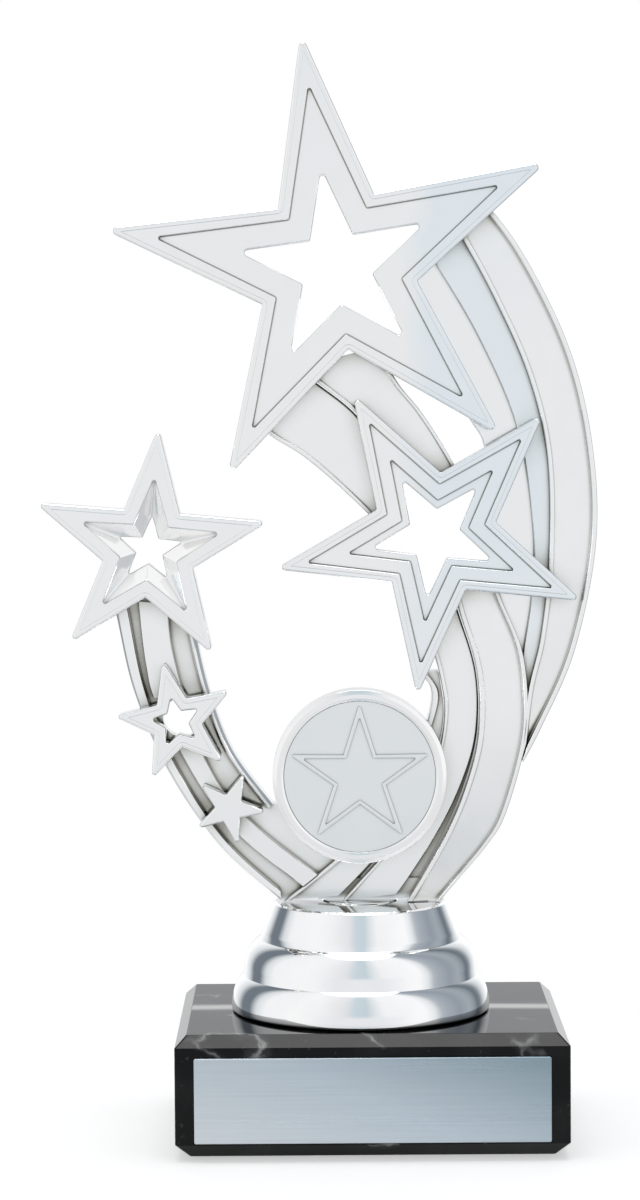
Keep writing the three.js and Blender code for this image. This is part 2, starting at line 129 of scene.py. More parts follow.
# The ribbons' edges, each one smooth curve that runs downwards.
CRESCENT_OUTER = [(19, 119), (27.1, 108.5), (35, 92.6), (38.9, 76.8), (39.6, 60), (36, 41.9),
                  (30.2, 28.6), (27.3, 23.2)]
CRESCENT_SPLIT = [(14, 115.5), (17.5, 110.3), (22.6, 100.9), (28.3, 88), (31.5, 74.4),
                  (31.8, 58), (30.4, 44.4), (28.3, 35.3), (27, 24)]
CRESCENT_STEP = [(10.6, 110), (13.1, 106.3), (20.5, 93.5), (26.7, 78.6), (29.2, 62),
                 (28.9, 50.7), (27.3, 40.2), (27.2, 35.5)]
CRESCENT_INNER = [(10.6, 109), (9.2, 102), (10.5, 95), (14, 88), (18.9, 80.2), (21.2, 75.7),
                  (22.4, 63.5), (23.3, 54.6), (23.4, 49), (26, 42), (27, 33), (26.6, 23)]

UPPER_LEFT = [(-17.5, 82), (-14.8, 78.2), (-9.5, 74.8), (-4.6, 70.8), (1.7, 64.8), (2.9, 63)]
UPPER_SPLIT = [(-10, 89.2), (-6.5, 86.6), (-0.9, 82.2), (3, 77.5), (6, 72.6)]
UPPER_RIGHT = [(3.5, 92.5), (6.8, 86.5), (10.4, 82), (13.7, 77), (17, 71.3)]

LOWER_LEFT = [(10.8, 50), (11.9, 44), (13.7, 37), (14.3, 31.2), (13, 24), (9, 14), (3, 6.6),
              (-2.9, 0)]
LOWER_SPLIT = [(15.5, 54.8), (16.6, 49.2), (19.7, 38.7), (20, 28.6), (18.1, 20.2), (14.3, 11),
               (8, 0)]
LOWER_RIGHT = [(22.9, 54), (23.9, 50.3), (27.2, 42), (28.2, 33), (27.5, 25.2), (24.3, 14.3),
               (21.3, 9.3), (17.1, 4.3), (13.4, 0)]
HOOK_LEFT = [(10, 38.4), (12.1, 35.3), (11.4, 30.3), (8, 22), (2, 13), (-4.3, 6.7), (-12.7, 0)]
HOOK_RIGHT = [(13.4, 38.4), (13.7, 37), (14.3, 31.2), (13, 24), (9, 14), (3, 6.6), (-2.9, 0)]

SWEEP_OUTER = [(-41.9, 53.5), (-40.4, 48.4), (-37.6, 35.7), (-32.1, 22.3), (-23.4, 9.3),
               (-13.2, 0)]
SWEEP_CENTRE_LEFT = [(-36.8, 50.5), (-35.6, 39.9), (-33.7, 32.8), (-26.6, 19.2), (-20, 10.8),
                     (-9.7, 2.39)]
SWEEP_CENTRE_RIGHT = [(-31.5, 50), (-30.6, 40.7), (-25.4, 23.6), (-18.3, 13.8), (-7, 4.55)]
SWEEP_INNER = [(-28.8, 50.5), (-27.5, 46.5), (-25.1, 36), (-21.2, 25.5), (-14.5, 16.3)]
SWEEP_UNDER_HOLDER = [(-8, 15), (-5, 10), (-4.3, 6.7), (-12.7, 0)]

# ---- Outlines -------------------------------------------------------------------------------------


def rounded(corners, steps=4):
    """The points of a closed outline of (a, b, radius) corners, each rounded by its radius."""
    points = []
    for i, (a, b, radius) in enumerate(corners):
        here = Vector((a, b))
        before = Vector(corners[i - 1][:2]) - here
        after = Vector(corners[(i + 1) % len(corners)][:2]) - here
        half = max(before.angle(after) / 2, 0.01)
        if radius == 0 or half > math.radians(89):
            points += [here.copy() for _ in range(steps + 1 if radius else 1)]
            continue
        reach = min(radius / math.tan(half), 0.48 * before.length, 0.48 * after.length)
        inwards = (before.normalized() + after.normalized()).normalized()
        centre = here + inwards * reach / math.cos(half)
        spoke = here + before.normalized() * reach - centre
        turn = math.copysign(math.pi - 2 * half, after.cross(before))
        for step in range(steps + 1):
            points.append(centre + Matrix.Rotation(turn * step / steps, 2) @ spoke)
    return points


def smooth(points, steps=12):
    """Dense points of the smooth curve through the given points."""
    knots = [Vector(p) for p in points]
    curve = []
    for i in range(len(knots) - 1):
        start, end = knots[i], knots[i + 1]
        leaving = (end - knots[max(i - 1, 0)]) / 2
        arriving = (knots[min(i + 2, len(knots) - 1)] - start) / 2
        for step in range(steps):
            t = step / steps
            curve.append(
                (2 * start - 2 * end + leaving + arriving) * t**3
                + (3 * end - 3 * start - 2 * leaving - arriving) * t**2
                + leaving * t
                + start
            )
    return curve + [knots[-1]]


def even(curve, count):
    """The same curve as count + 1 points at equal distances."""
    lengths = [0]
    for a, b in zip(curve, curve[1:]):
        lengths.append(lengths[-1] + (b - a).length)
    points = []
    span = 0
    for i in range(count + 1):
        wanted = lengths[-1] * i / count
        while span < len(curve) - 2 and lengths[span + 1] < wanted:
            span += 1
        share = (wanted - lengths[span]) / (lengths[span + 1] - lengths[span])
        points.append(curve[span].lerp(curve[span + 1], share))
    return points


def shifted(curve, distance):
    """The curve moved sideways: a positive distance moves a downward curve to the right."""
    moved = []
    for i, here in enumerate(curve):
        along = (curve[min(i + 1, len(curve) - 1)] - curve[max(i - 1, 0)]).normalized()
        moved.append(here + Vector((-along.y, along.x)) * distance)
    return moved


def star_outline(star, tip, corner, tip_round, corner_round, inset=0.0):
    """A five-pointed star whose rounded tips reach tip, moved inwards by inset."""
    fifth = math.radians(36)
    half = math.atan2(corner * math.sin(fifth), tip - corner * math.cos(fifth))
    sharp = tip + tip_round * (1 / math.sin(half) - 1)
    edge = math.sqrt(sharp**2 + corner**2 - 2 * sharp * corner * math.cos(fifth))
    scale = 1 - inset * edge / (sharp * corner * math.sin(fifth))
    corners = []
    for i in range(10):
        outward = i % 2 == 0
        radius = scale * (sharp if outward else corner)
        rounding = tip_round - inset if outward else corner_round + inset
        angle = math.radians(star["turn"]) + fifth * i
        corners.append((
            star["x"] + radius * math.cos(angle),
            star["z"] + radius * math.sin(angle),
            max(rounding, 0.03),
        ))
    return rounded(corners, 6)


# ---- Surfaces -------------------------------------------------------------------------------------


def place(x, y, z):
    """A point of the figure in the whole object's frame, in metres."""
    return Vector((x + AXIS_X, y, z + FIGURE_FLOOR)) * MM


def skin(mesh, loops, closed=False):
    """Joins loops of equal length into one surface, closed by a ring or by two end faces."""
    rows = [[mesh.verts.new(point) for point in loop] for loop in loops]
    following = rows[1:] + rows[:1] if closed else rows[1:]
    for row, after in zip(rows, following):
        for i in range(len(row)):
            j = (i + 1) % len(row)
            mesh.faces.new((row[i], row[j], after[j], after[i]))
    if not closed:
        mesh.faces.new(rows[0])
        mesh.faces.new(rows[-1])


def solid_object(name, loop_sets):
    """An object from (loops, closed) sets, each one closed surface."""
    mesh = bmesh.new()
    for loops, closed in loop_sets:
        skin(mesh, loops, closed)
    bmesh.ops.remove_doubles(mesh, verts=mesh.verts, dist=0.002 * MM)
    bmesh.ops.recalc_face_normals(mesh, faces=mesh.faces)
    data = bpy.data.meshes.new(name)
    mesh.to_mesh(data)
    mesh.free()
    solid = bpy.data.objects.new(name, data)
    bpy.context.scene.collection.objects.link(solid)
    return solid


def pierce(piece, cutter):
    """Cuts the cutter's shape out of the piece and removes the cutter."""
    step = piece.modifiers.new("hole", "BOOLEAN")
    step.operation = "DIFFERENCE"
    step.object = cutter
    evaluated = piece.evaluated_get(bpy.context.evaluated_depsgraph_get())
    whole = piece.data
    piece.data = bpy.data.meshes.new_from_object(evaluated)
    piece.modifiers.remove(step)
    bpy.data.meshes.remove(whole)
    bpy.data.objects.remove(cutter)


def shade(data, sharp_degrees, lean):
    """Smooth corner normals; a lean above 1 turns them to the larger faces and keeps those flat."""
    limit = math.cos(math.radians(sharp_degrees))
    normals = [face.normal.copy() for face in data.polygons]
    areas = [face.area for face in data.polygons]
    faces_at = [[] for _ in data.vertices]
    for face in data.polygons:
        face.use_smooth = True
        for vertex in face.vertices:
            faces_at[vertex].append(face.index)
    corners = []
    for face in data.polygons:
        for vertex in face.vertices:
            near = [i for i in faces_at[vertex] if normals[face.index].dot(normals[i]) > limit]
            largest = max(areas[i] for i in near)
            leaning = Vector()
            for i in near:
                leaning += normals[i] * (areas[i] / largest) ** lean
            corners.append(leaning.normalized())
    data.normals_split_custom_set(corners)


def make_piece(node, loop_sets, look, body, sharp_degrees=50, lean=3, cutter=None):
    """One piece from (loops, closed) sets, in place of the CAD node of the same name."""
    piece = solid_object(node + "_shape", loop_sets)
    if cutter:
        pierce(piece, cutter)
    shade(piece.data, sharp_degrees, lean)
    piece.data.materials.append(look)
    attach(piece, body)
    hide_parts(node)


def figure_piece(node, loop_sets, look, sharp_degrees=50, cutter=None):
    """One plated piece of the figure."""
    make_piece(node, loop_sets, look, "figure", sharp_degrees, cutter=cutter)


def strip_loops(left, right, section, stations=72):
    """Loops of one cross-section along a left and a right edge.

    Each corner of the section is (side, offset, y, radius): side is 0 on the left edge and 1 on
    the right one, and the offset from there shrinks where the strip is too narrow for it."""
    needed = 1.05 * sum(max(abs(o) for s, o, _, _ in section if s == side) for side in (0, 1))
    loops = []
    for a, b in zip(even(left, stations), even(right, stations)):
        width = (b - a).length
        across = (b - a) / width
        squeeze = min(1, width / needed) if needed else 1
        corners = [
            (side * width + offset * squeeze, y, radius) for side, offset, y, radius in section
        ]
        points = [(a + across * distance, y) for distance, y in rounded(corners, 3)]
        loops.append([place(p.x, y, p.y) for p, y in points])
    return loops


def star_loops(star, layers):
    """Loops through star outlines: each layer is (outline sizes, inset, y)."""
    return [
        [place(p.x, y, p.y) for p in star_outline(star, *sizes, inset)]
        for sizes, inset, y in layers
    ]


def turned_about_y(profile, x, z, segments=96):
    """Loops of a solid of revolution about a line along Y, from [radius, y] points."""
    loops = []
    for radius, y in profile:
        angles = [2 * math.pi * i / segments for i in range(segments)]
        loops.append([place(x + radius * math.cos(t), y, z + radius * math.sin(t)) for t in angles])
    return loops


def turned_about_z(profile, floor, segments=320):
    """Loops of a solid of revolution about the stud's axis, from [radius, z] points."""
    loops = []
    for radius, z in profile:
        angles = [2 * math.pi * i / segments for i in range(segments)]
        loops.append([
            Vector((AXIS_X + radius * math.cos(t), radius * math.sin(t), floor + z)) * MM
            for t in angles
        ])
    return loops


# ---- Node helpers ---------------------------------------------------------------------------------


def add(tree, kind, sockets=None, **settings):
    """A shader node with its settings, and its inputs given as links or values."""
    node = tree.nodes.new(kind)
    for name, value in settings.items():
        setattr(node, name, value)
    for name, value in (sockets or {}).items():
        if isinstance(value, bpy.types.NodeSocket):
            tree.links.new(value, node.inputs[name])
        else:
            node.inputs[name].default_value = value
    return node


def maths(tree, operation, *values):
    """The result of one arithmetic step on links or numbers."""
    return add(tree, "ShaderNodeMath", dict(enumerate(values)), operation=operation).outputs[0]


def ramp(tree, value, stops):
    """A colour ramp from (position, colour or grey) stops."""
    node = add(tree, "ShaderNodeValToRGB", {0: value})
    elements = node.color_ramp.elements
    while len(elements) < len(stops):
        elements.new(1)
    for element, (position, colour) in zip(elements, stops):
        element.position = position
        grey = isinstance(colour, (int, float))
        element.color = (colour, colour, colour, 1) if grey else (*colour, 1)
    return node.outputs[0]


def scale_range(tree, value, low, high, start=0.0, end=1.0):
    """Goes from low to high as the value goes from start to end, and stays between them."""
    inputs = {0: value, 1: start, 2: end, 3: low, 4: high}
    return add(tree, "ShaderNodeMapRange", inputs).outputs[0]


def mixed(tree, factor, first, second, blend="MIX"):
    """Two colours mixed by a factor."""
    inputs = {0: factor, 6: first, 7: second}
    return add(tree, "ShaderNodeMix", inputs, data_type="RGBA", blend_type=blend).outputs[2]


def noise(tree, where, scale, detail, stretch=(1, 1, 1)):
    """Soft noise, stretched along the axes."""
    spread = add(tree, "ShaderNodeMapping", {"Vector": where, "Scale": stretch}).outputs[0]
    inputs = {"Vector": spread, "Scale": scale, "Detail": detail}
    return add(tree, "ShaderNodeTexNoise", inputs).outputs[0]


def split_point(tree, where):
    """The x, y and z links of a point."""
    return add(tree, "ShaderNodeSeparateXYZ", {0: where}).outputs


def new_material(name, **values):
    """An empty Principled material: the tree, its shader and the object's own coordinates."""
    material = bpy.data.materials.new(name)
    material.use_nodes = True
    tree = material.node_tree
    shader = tree.nodes["Principled BSDF"]
    for socket, value in values.items():
        shader.inputs[socket.replace("_", " ")].default_value = value
    where = add(tree, "ShaderNodeTexCoord").outputs["Object"]
    return material, tree, shader, where


def finish_material(tree, shader, colour, roughness, height, strength, distance):
    """Links a colour, a roughness and a bump of the given height to the shader."""
    bump = add(tree, "ShaderNodeBump",
               {"Height": height, "Strength": strength, "Distance": distance})
    tree.links.new(colour, shader.inputs["Base Color"])
    tree.links.new(roughness, shader.inputs["Roughness"])
    tree.links.new(bump.outputs[0], shader.inputs["Normal"])


# ---- Materials ------------------------------------------------------------------------------------


def openness(tree, distance):
    """How open a surface point is within a distance, from 0 in a crevice to 1 on a face."""
    node = add(tree, "ShaderNodeAmbientOcclusion", {"Distance": distance}, samples=8)
    return node.outputs["AO"]


def sky_reflection_area(tree, where):
    """Where a bluish sky reflection is painted: a soft uneven area up the figure's right side."""
    x, _, z = split_point(tree, where)
    uneven = maths(tree, "MULTIPLY", noise(tree, where, 40, 2), 22 * MM)
    across = maths(tree, "ADD", x, uneven)
    right = scale_range(tree, across, 0, 1, 16.5 * MM, 20.5 * MM)
    above = scale_range(tree, z, 0, 1, 60 * MM, 100 * MM)
    return maths(tree, "MULTIPLY", right, above)


# How far the painted shade is lifted at the figure's foot, and the height over which the lift fades.
FOOT_SHADE_LIFT = 0.8
FOOT_FADE = 1.6


def foot_shade_lift(tree, where):
    """How far painted shade is lifted: evenly over the riser, fading out up the figure's foot."""
    z = split_point(tree, where)[2]
    top = FIGURE_FLOOR + FOOT_FADE
    return scale_range(tree, z, FOOT_SHADE_LIFT, 0, FIGURE_FLOOR * MM, top * MM)


# The figure's colour; the painted shade that multiplies it in its wide hollows and in its fine
# crevices by how open they are, strong in most pieces and faint in a few; and the painted bluish sky
# reflection that multiplies it in its bluish area. The riser has its own colour and no painted
# shade.
SILVER = (0.94, 0.94, 0.935)
PAINTED_SHADE = [(0.1, (0.12, 0.115, 0.095)), (0.35, (0.44, 0.43, 0.39)), (0.5, (0.73, 0.73, 0.7)),
           (0.65, (0.92, 0.93, 0.92)), (0.85, 1.0)]
DARK_PAINTED_SHADE_LINES = [(0.15, (0.08, 0.075, 0.065)), (0.5, (0.52, 0.51, 0.48)), (0.8, 1.0)]
FAINT_PAINTED_SHADE = [(0.1, (0.7, 0.69, 0.67)), (0.45, 1.0)]
FAINT_PAINTED_SHADE_LINES = [(0.15, (0.2, 0.19, 0.17)), (0.5, (0.8, 0.8, 0.79)), (0.8, 1.0)]
SKY_BLUE = (0.9, 0.95, 0.985)
CHROME = (0.93, 0.935, 0.94)
NO_PAINTED_SHADE = [(0.0, 1.0), (1.0, 1.0)]


def plated_look(name, colour, smoothest, roughest, soft_shade, crevice_shade, sky=1.0):
    """Metallised plastic: faint long waves, fine haze, and painted shade deep in its grooves."""
    material, tree, shader, where = new_material(name, Metallic=1.0)
    haze = noise(tree, where, 260, 5)
    waves = noise(tree, where, 45, 1)
    grain = noise(tree, where, 2600, 3)
    tint = ramp(tree, haze, [(0.3, [c * 0.97 for c in colour]), (0.7, colour)])
    # Painted reflection: the plating is tinted bluish up the figure's right side.
    sky_reflection = ramp(tree, sky_reflection_area(tree, where), [(0.0, 1.0), (1.0, sky)])
    tint = mixed(tree, 1.0, tint, sky_reflection, "MULTIPLY")
    # Lifts the painted shade where the figure meets the riser, so the foot is not darkened.
    shade_lift = foot_shade_lift(tree, where)
    # Painted shade: ambient occlusion darkens the colour in hollows, in crevices, under the stars'
    # edges and between the pieces.
    open_wide = maths(tree, "MAXIMUM", openness(tree, 4.5 * MM), shade_lift)
    open_near = maths(tree, "MAXIMUM", openness(tree, 1 * MM), shade_lift)
    soft = ramp(tree, open_wide, soft_shade)
    crevice = ramp(tree, open_near, crevice_shade)
    shaded = mixed(tree, 1.0, mixed(tree, 1.0, tint, soft, "MULTIPLY"), crevice, "MULTIPLY")
    roughness = scale_range(tree, haze, smoothest, roughest, 0.3, 0.7)
    height = maths(tree, "ADD", maths(tree, "MULTIPLY", waves, 0.4),
                   maths(tree, "MULTIPLY", grain, 0.02))
    finish_material(tree, shader, shaded, roughness, height, strength=0.35, distance=0.05 * MM)
    return material


def marble_look():
    """Polished black marble with a few thin pale veins, soft clouds and small flecks."""
    material, tree, shader, where = new_material("black_marble", IOR=1.28)
    warp = add(tree, "ShaderNodeTexNoise", {"Vector": where, "Scale": 90.0, "Detail": 5.0})
    bend = add(tree, "ShaderNodeVectorMath", {0: warp.outputs["Color"], 1: (0.012,) * 3},
               operation="MULTIPLY")
    bent = add(tree, "ShaderNodeVectorMath", {0: where, 1: bend.outputs[0]}, operation="ADD")
    cells = add(tree, "ShaderNodeTexVoronoi", {"Vector": bent.outputs[0], "Scale": 62.0},
                feature="DISTANCE_TO_EDGE")
    crack = ramp(tree, cells.outputs["Distance"], [(0.0, 1.0), (0.03, 0.1), (0.08, 0.0)])
    veined = ramp(tree, noise(tree, where, 70, 3), [(0.57, 0.0), (0.68, 1.0)])
    cloud = ramp(tree, noise(tree, where, 130, 6), [(0.48, 0.0), (0.78, 1.0)])
    fleck = ramp(tree, noise(tree, where, 900, 4), [(0.68, 0.0), (0.78, 1.0)])
    vein = maths(tree, "MULTIPLY", crack, veined)
    pale = maths(tree, "ADD", vein, maths(tree, "MULTIPLY", fleck, 0.2))
    ground = mixed(tree, cloud, (0.0015, 0.0015, 0.0015, 1), (0.012, 0.012, 0.012, 1))
    colour = mixed(tree, pale, ground, (0.24, 0.245, 0.24, 1))
    roughness = scale_range(tree, cloud, 0.006, 0.012)
    finish_material(tree, shader, colour, roughness, vein, strength=0.08, distance=0.02 * MM)
    return material


def brushed_look():
    """Aluminium brushed from side to side, with a painted reflection bluer to the right, paler
    below.
    """
    material, tree, shader, where = new_material("brushed_plate", Metallic=1.0, Anisotropic=0.6)
    lines = noise(tree, where, 40, 6, (1, 40, 90))
    streaks = noise(tree, where, 12, 3, (1, 20, 40))
    x, _, z = split_point(tree, where)
    across = scale_range(tree, x, 0, 1, plate_low.x * MM, plate_high.x * MM)
    up = scale_range(tree, z, 0, 1, plate_low.z * MM, plate_high.z * MM)
    # Painted reflection: the colour goes bluer and darker to the right and up the sheet.
    blue = maths(tree, "ADD", maths(tree, "MULTIPLY", across, 0.65),
                 maths(tree, "MULTIPLY", up, 0.35))
    colour = ramp(tree, blue, [(0.0, (0.68, 0.72, 0.745)), (0.5, (0.55, 0.62, 0.68)),
                               (1.0, (0.29, 0.38, 0.43))])
    brushed = mixed(tree, 1.0, colour, ramp(tree, lines, [(0.3, 0.92), (0.7, 1.0)]), "MULTIPLY")
    roughness = scale_range(tree, streaks, 0.24, 0.36, 0.3, 0.7)
    finish_material(tree, shader, brushed, roughness, lines, strength=0.25, distance=0.01 * MM)
    tangent = add(tree, "ShaderNodeTangent", direction_type="RADIAL", axis="Z")
    tree.links.new(tangent.outputs[0], shader.inputs["Tangent"])
    return material


def disc_look():
    """The centre disc's pale foil: faint circular grain, and painted shade as dark lines along its
    relief.
    """
    material, tree, shader, where = new_material("centre_disc", Metallic=1.0)
    centre = tuple(place(HOLDER["x"], DISC["front"], HOLDER["z"]))
    spoke = add(tree, "ShaderNodeVectorMath", {0: where, 1: centre}, operation="SUBTRACT")
    flat = add(tree, "ShaderNodeVectorMath", {0: spoke.outputs[0], 1: (1, 0, 1)},
               operation="MULTIPLY")
    radius = add(tree, "ShaderNodeVectorMath", {0: flat.outputs[0]}, operation="LENGTH")
    rings = add(tree, "ShaderNodeTexNoise", {"W": radius.outputs["Value"], "Scale": 1500.0},
                noise_dimensions="1D").outputs[0]
    haze = noise(tree, where, 120, 4)
    tint = ramp(tree, haze, [(0.3, (0.84, 0.86, 0.86)), (0.7, (0.90, 0.91, 0.91))])
    # Painted shade: ambient occlusion darkens the foil along the star ridge and round the disc's
    # rim.
    edge = ramp(tree, openness(tree, 0.8 * MM), [(0.3, 0.2), (0.7, 0.7), (0.92, 1.0)])
    colour = mixed(tree, 1.0, tint, edge, "MULTIPLY")
    roughness = scale_range(tree, haze, 0.2, 0.28, 0.3, 0.7)
    finish_material(tree, shader, colour, roughness, rings, strength=0.06, distance=0.004 * MM)
    return material


def zinc_look():
    """Zinc-plated steel with a dull crystalline mottling."""
    material, tree, shader, where = new_material("zinc_steel", Metallic=1.0)
    crystal = add(tree, "ShaderNodeTexVoronoi", {"Vector": where, "Scale": 900.0}).outputs[0]
    mottling = noise(tree, where, 300, 4)
    colour = ramp(tree, mottling, [(0.3, (0.52, 0.54, 0.56)), (0.7, (0.7, 0.71, 0.7))])
    roughness = scale_range(tree, mottling, 0.3, 0.5, 0.3, 0.7)
    finish_material(tree, shader, colour, roughness, crystal, strength=0.2, distance=0.02 * MM)
    return material


def adhesive_look():
    """Milky double-sided film with fine bubbles."""
    material, tree, shader, where = new_material("adhesive")
    bubbles = noise(tree, where, 1500, 3)
    colour = ramp(tree, bubbles, [(0.3, (0.68, 0.66, 0.6)), (0.7, (0.8, 0.78, 0.73))])
    roughness = scale_range(tree, bubbles, 0.45, 0.65)
    finish_material(tree, shader, colour, roughness, bubbles, strength=0.2, distance=0.02 * MM)
    return material


def foam_look():
    """Black foam rubber with open cells."""
    material, tree, shader, where = new_material("pad_foam")
    cells = add(tree, "ShaderNodeTexVoronoi", {"Vector": where, "Scale": 2200.0}).outputs[0]
    tone = noise(tree, where, 400, 3)
    colour = ramp(tree, tone, [(0.3, 0.012), (0.7, 0.03)])
    roughness = scale_range(tree, cells, 0.8, 0.95)
    finish_material(tree, shader, colour, roughness, cells, strength=0.6, distance=0.1 * MM)
    return material


def floor_look():
    """A plain pale matte surface that fades out round the object."""
    material, tree, shader, where = new_material("pale_floor")
    grain = noise(tree, where, 60, 4)
    colour = ramp(tree, grain, [(0.3, 0.88), (0.7, 0.9)])
    roughness = scale_range(tree, grain, 0.8, 0.9)
    finish_material(tree, shader, colour, roughness, grain, strength=0.05, distance=0.1 * MM)
    away = add(tree, "ShaderNodeVectorMath", {0: where}, operation="LENGTH").outputs["Value"]
    cover = add(tree, "ShaderNodeMapRange", {0: away, 1: 40 * MM, 2: 120 * MM, 3: 0.5, 4: 0.0},
                interpolation_type="SMOOTHSTEP")
    tree.links.new(cover.outputs[0], shader.inputs["Alpha"])
    return material


# ---- The base and riser ---------------------------------------------------------------------------


def rectangle_loop(half_x, half_y, z, corner):
    """A level loop with rounded corners about the origin, started on its right side."""
    outline = rounded([
        (half_x, -half_y, corner),
        (half_x, half_y, corner),
        (-half_x, half_y, corner),
        (-half_x, -half_y, corner),
    ], 8)
    return [Vector((p.x, p.y, z)) * MM for p in outline]


def matching_circle(radius, z, like):
    """A level circle about the stud's axis, each point on the same bearing as one of a loop."""
    bearings = [math.atan2(p.y, p.x - AXIS_X * MM) for p in like]
    return [
        Vector((AXIS_X + radius * math.cos(t), radius * math.sin(t), z)) * MM for t in bearings
    ]


def marble_block(look):
    """The chamfered block, with the stud's hole and the counterbore below."""
    top_chamfer, bottom_chamfer, edge = 1.9, 2.3, 0.22
    hole, counterbore, counterbore_depth = 4.75, 8.9, 8.5
    bottom, top = block_low.z, block_high.z
    upright_edge, far_inside = 0.35, 30
    side = rounded([
        (far_inside, bottom, 0),
        (bottom_chamfer, bottom, edge),
        (0, bottom + bottom_chamfer, edge),
        (0, top - top_chamfer, edge),
        (top_chamfer, top, edge),
        (far_inside, top, 0),
    ], 3)[1:-1]
    loops = []
    for inset, z in side:
        half_x, half_y = block_high.x - inset, block_high.y - inset
        loops.append(rectangle_loop(half_x, half_y, z, upright_edge))
    like = loops[-1]
    roof = bottom + counterbore_depth
    loops += [
        matching_circle(hole, top, like),
        matching_circle(hole, roof, like),
        matching_circle(counterbore, roof, like),
        matching_circle(counterbore, bottom, like),
    ]
    make_piece("marble_base", [(loops, True)], look, "base", 25)


def engraving_plate(look):
    """The thin brushed sheet on the front, its edges broken and its corners just rounded."""
    middle = (plate_low + plate_high) / 2
    half = (plate_high - plate_low) / 2
    edge, corner, far_inside = 0.12, 0.3, 5
    side = rounded([
        (far_inside, plate_high.y, 0),
        (0, plate_high.y, edge / 2),
        (0, plate_low.y, edge),
        (far_inside, plate_low.y, 0),
    ], 3)[1:-1]
    loops = []
    for inset, y in side:
        flat = rectangle_loop(half.x - inset, half.z - inset, 0, corner)
        loops.append([
            Vector((middle.x * MM + p.x, y * MM, middle.z * MM + p.y)) for p in flat
        ])
    make_piece("engraving_plate", [(loops, False)], look, "base")


def bulge(radius, z, reach, rise, start, end, steps):
    """Part of an ellipse that touches a bulge's greatest radius, as [radius, z] points."""
    angles = [math.radians(start + (end - start) * i / steps) for i in range(steps + 1)]
    return [(radius - reach * (1 - math.cos(t)), z + rise * math.sin(t)) for t in angles]


def riser(look):
    """The hollow turned riser: two bulges, a flared neck, and a socket for the figure's foot."""
    height = riser_high.z - riser_low.z
    outside = [
        *bulge(21.7, 0.4, 0.3, 0.4, -90, 0, 6),
        *bulge(21.7, 0.6, 4.1, 6, 0, 60, 28),
        *bulge(19.55, 6.9, 5.3, 5.9, 0, 60, 24),
    ]
    neck = rounded([
        (*outside[-1], 0),
        (16.4, 12.9, 2.5),
        (14.5, height - 0.3, 0.3),
        (14.1, height, 0.2),
        (10, height, 0),
    ], 6)[1:-1]
    socket_and_tube = [
        (6.4, height), (6.2, height - 0.2), (6.2, 11.2), (3.4, 11.2), (3.4, 0), (6, 0),
        (8.4, 9), (8.4, 15.6),
    ]
    hollow = [(12.2, 15.6), (14.6, 11.5), (17.5, 6.5), (19.2, 2.5), (18.4, 0)]
    profile = outside + [tuple(p) for p in neck] + socket_and_tube + hollow
    loops = turned_about_z(profile, riser_low.z)
    make_piece("riser", [(loops, True)], look, "riser", 32, 1)


# ---- The ribbons ----------------------------------------------------------------------------------


def rim(side, direction, width, top, floor, edge=EDGE):
    """A raised rim's corners from its outer face to the floor beside it, going inwards."""
    return [
        (side, 0, top, edge),
        (side, direction * width, top, edge),
        (side, direction * (width + 0.12), floor, 0.1),
    ]


def ribbon(node, left, right, section, look):
    """A piece with one cross-section along a left and a right edge."""
    figure_piece(node, [(strip_loops(left, right, section), False)], look)


def crescent(look, band_look, back_look):
    """A back plate with two stepped bands on it, drawn to a point beside the lower ribbon."""
    outer = smooth(CRESCENT_OUTER)
    split = smooth(CRESCENT_SPLIT)
    step = smooth(CRESCENT_STEP)
    inner = smooth(CRESCENT_INNER)
    foot = CRESCENT_STEP[-1][1]
    middle_end = [p for p in split if p.y > foot - 0.1]
    ribbon("crescent_back", inner, outer, [
        (0, 0, RIBBON_BACK, 0.3),
        (0, 0, PLATE_FRONT, EDGE),
        (1, 0, PLATE_FRONT + TILT, 0.05),
        (1, 0, RIBBON_BACK, 0.3),
    ], back_look)
    ribbon("crescent_middle_band", step, middle_end, [
        (0, 0, PLATE_FRONT, 0.05),
        (0, 0, BAND_FRONT, EDGE),
        (1, 0, BAND_FRONT, 0.05),
        (1, 0, PLATE_FRONT + TILT, 0.05),
    ], band_look)
    ribbon("crescent_outer_band", split, outer, [
        (0, 0, PLATE_FRONT + TILT, 0.05),
        *rim(0, 1, 0.7, RIM_FRONT, RIBBON_FRONT),
        *reversed(rim(1, -1, 0.8, RIM_FRONT, RIBBON_FRONT + TILT)),
        (1, 0, PLATE_FRONT + TILT, 0.05),
    ], look)


def drifting(curve, start, end, power):
    """The curve moved to the right by a distance that changes along it."""
    last = len(curve) - 1
    both = zip(shifted(curve, start), shifted(curve, end))
    return [a.lerp(b, (i / last) ** power) for i, (a, b) in enumerate(both)]


def grooved(node, left, right, section, groove_floor, end_gap, look):
    """A ribbon whose right side is cut away by a groove that widens along it."""
    edge = drifting(right, -GROOVE, -end_gap, 3)
    overlap = 0.3
    front = strip_loops(left, edge, section)
    floor = strip_loops(shifted(edge, -overlap), shifted(right, -GROOVE), [
        (0, 0, RIBBON_BACK - 0.2, 0),
        (0, 0, groove_floor, 0),
        (1, 0, groove_floor, 0),
        (1, 0, RIBBON_BACK - 0.2, 0),
    ])
    figure_piece(node, [(front, False), (floor, False)], look)


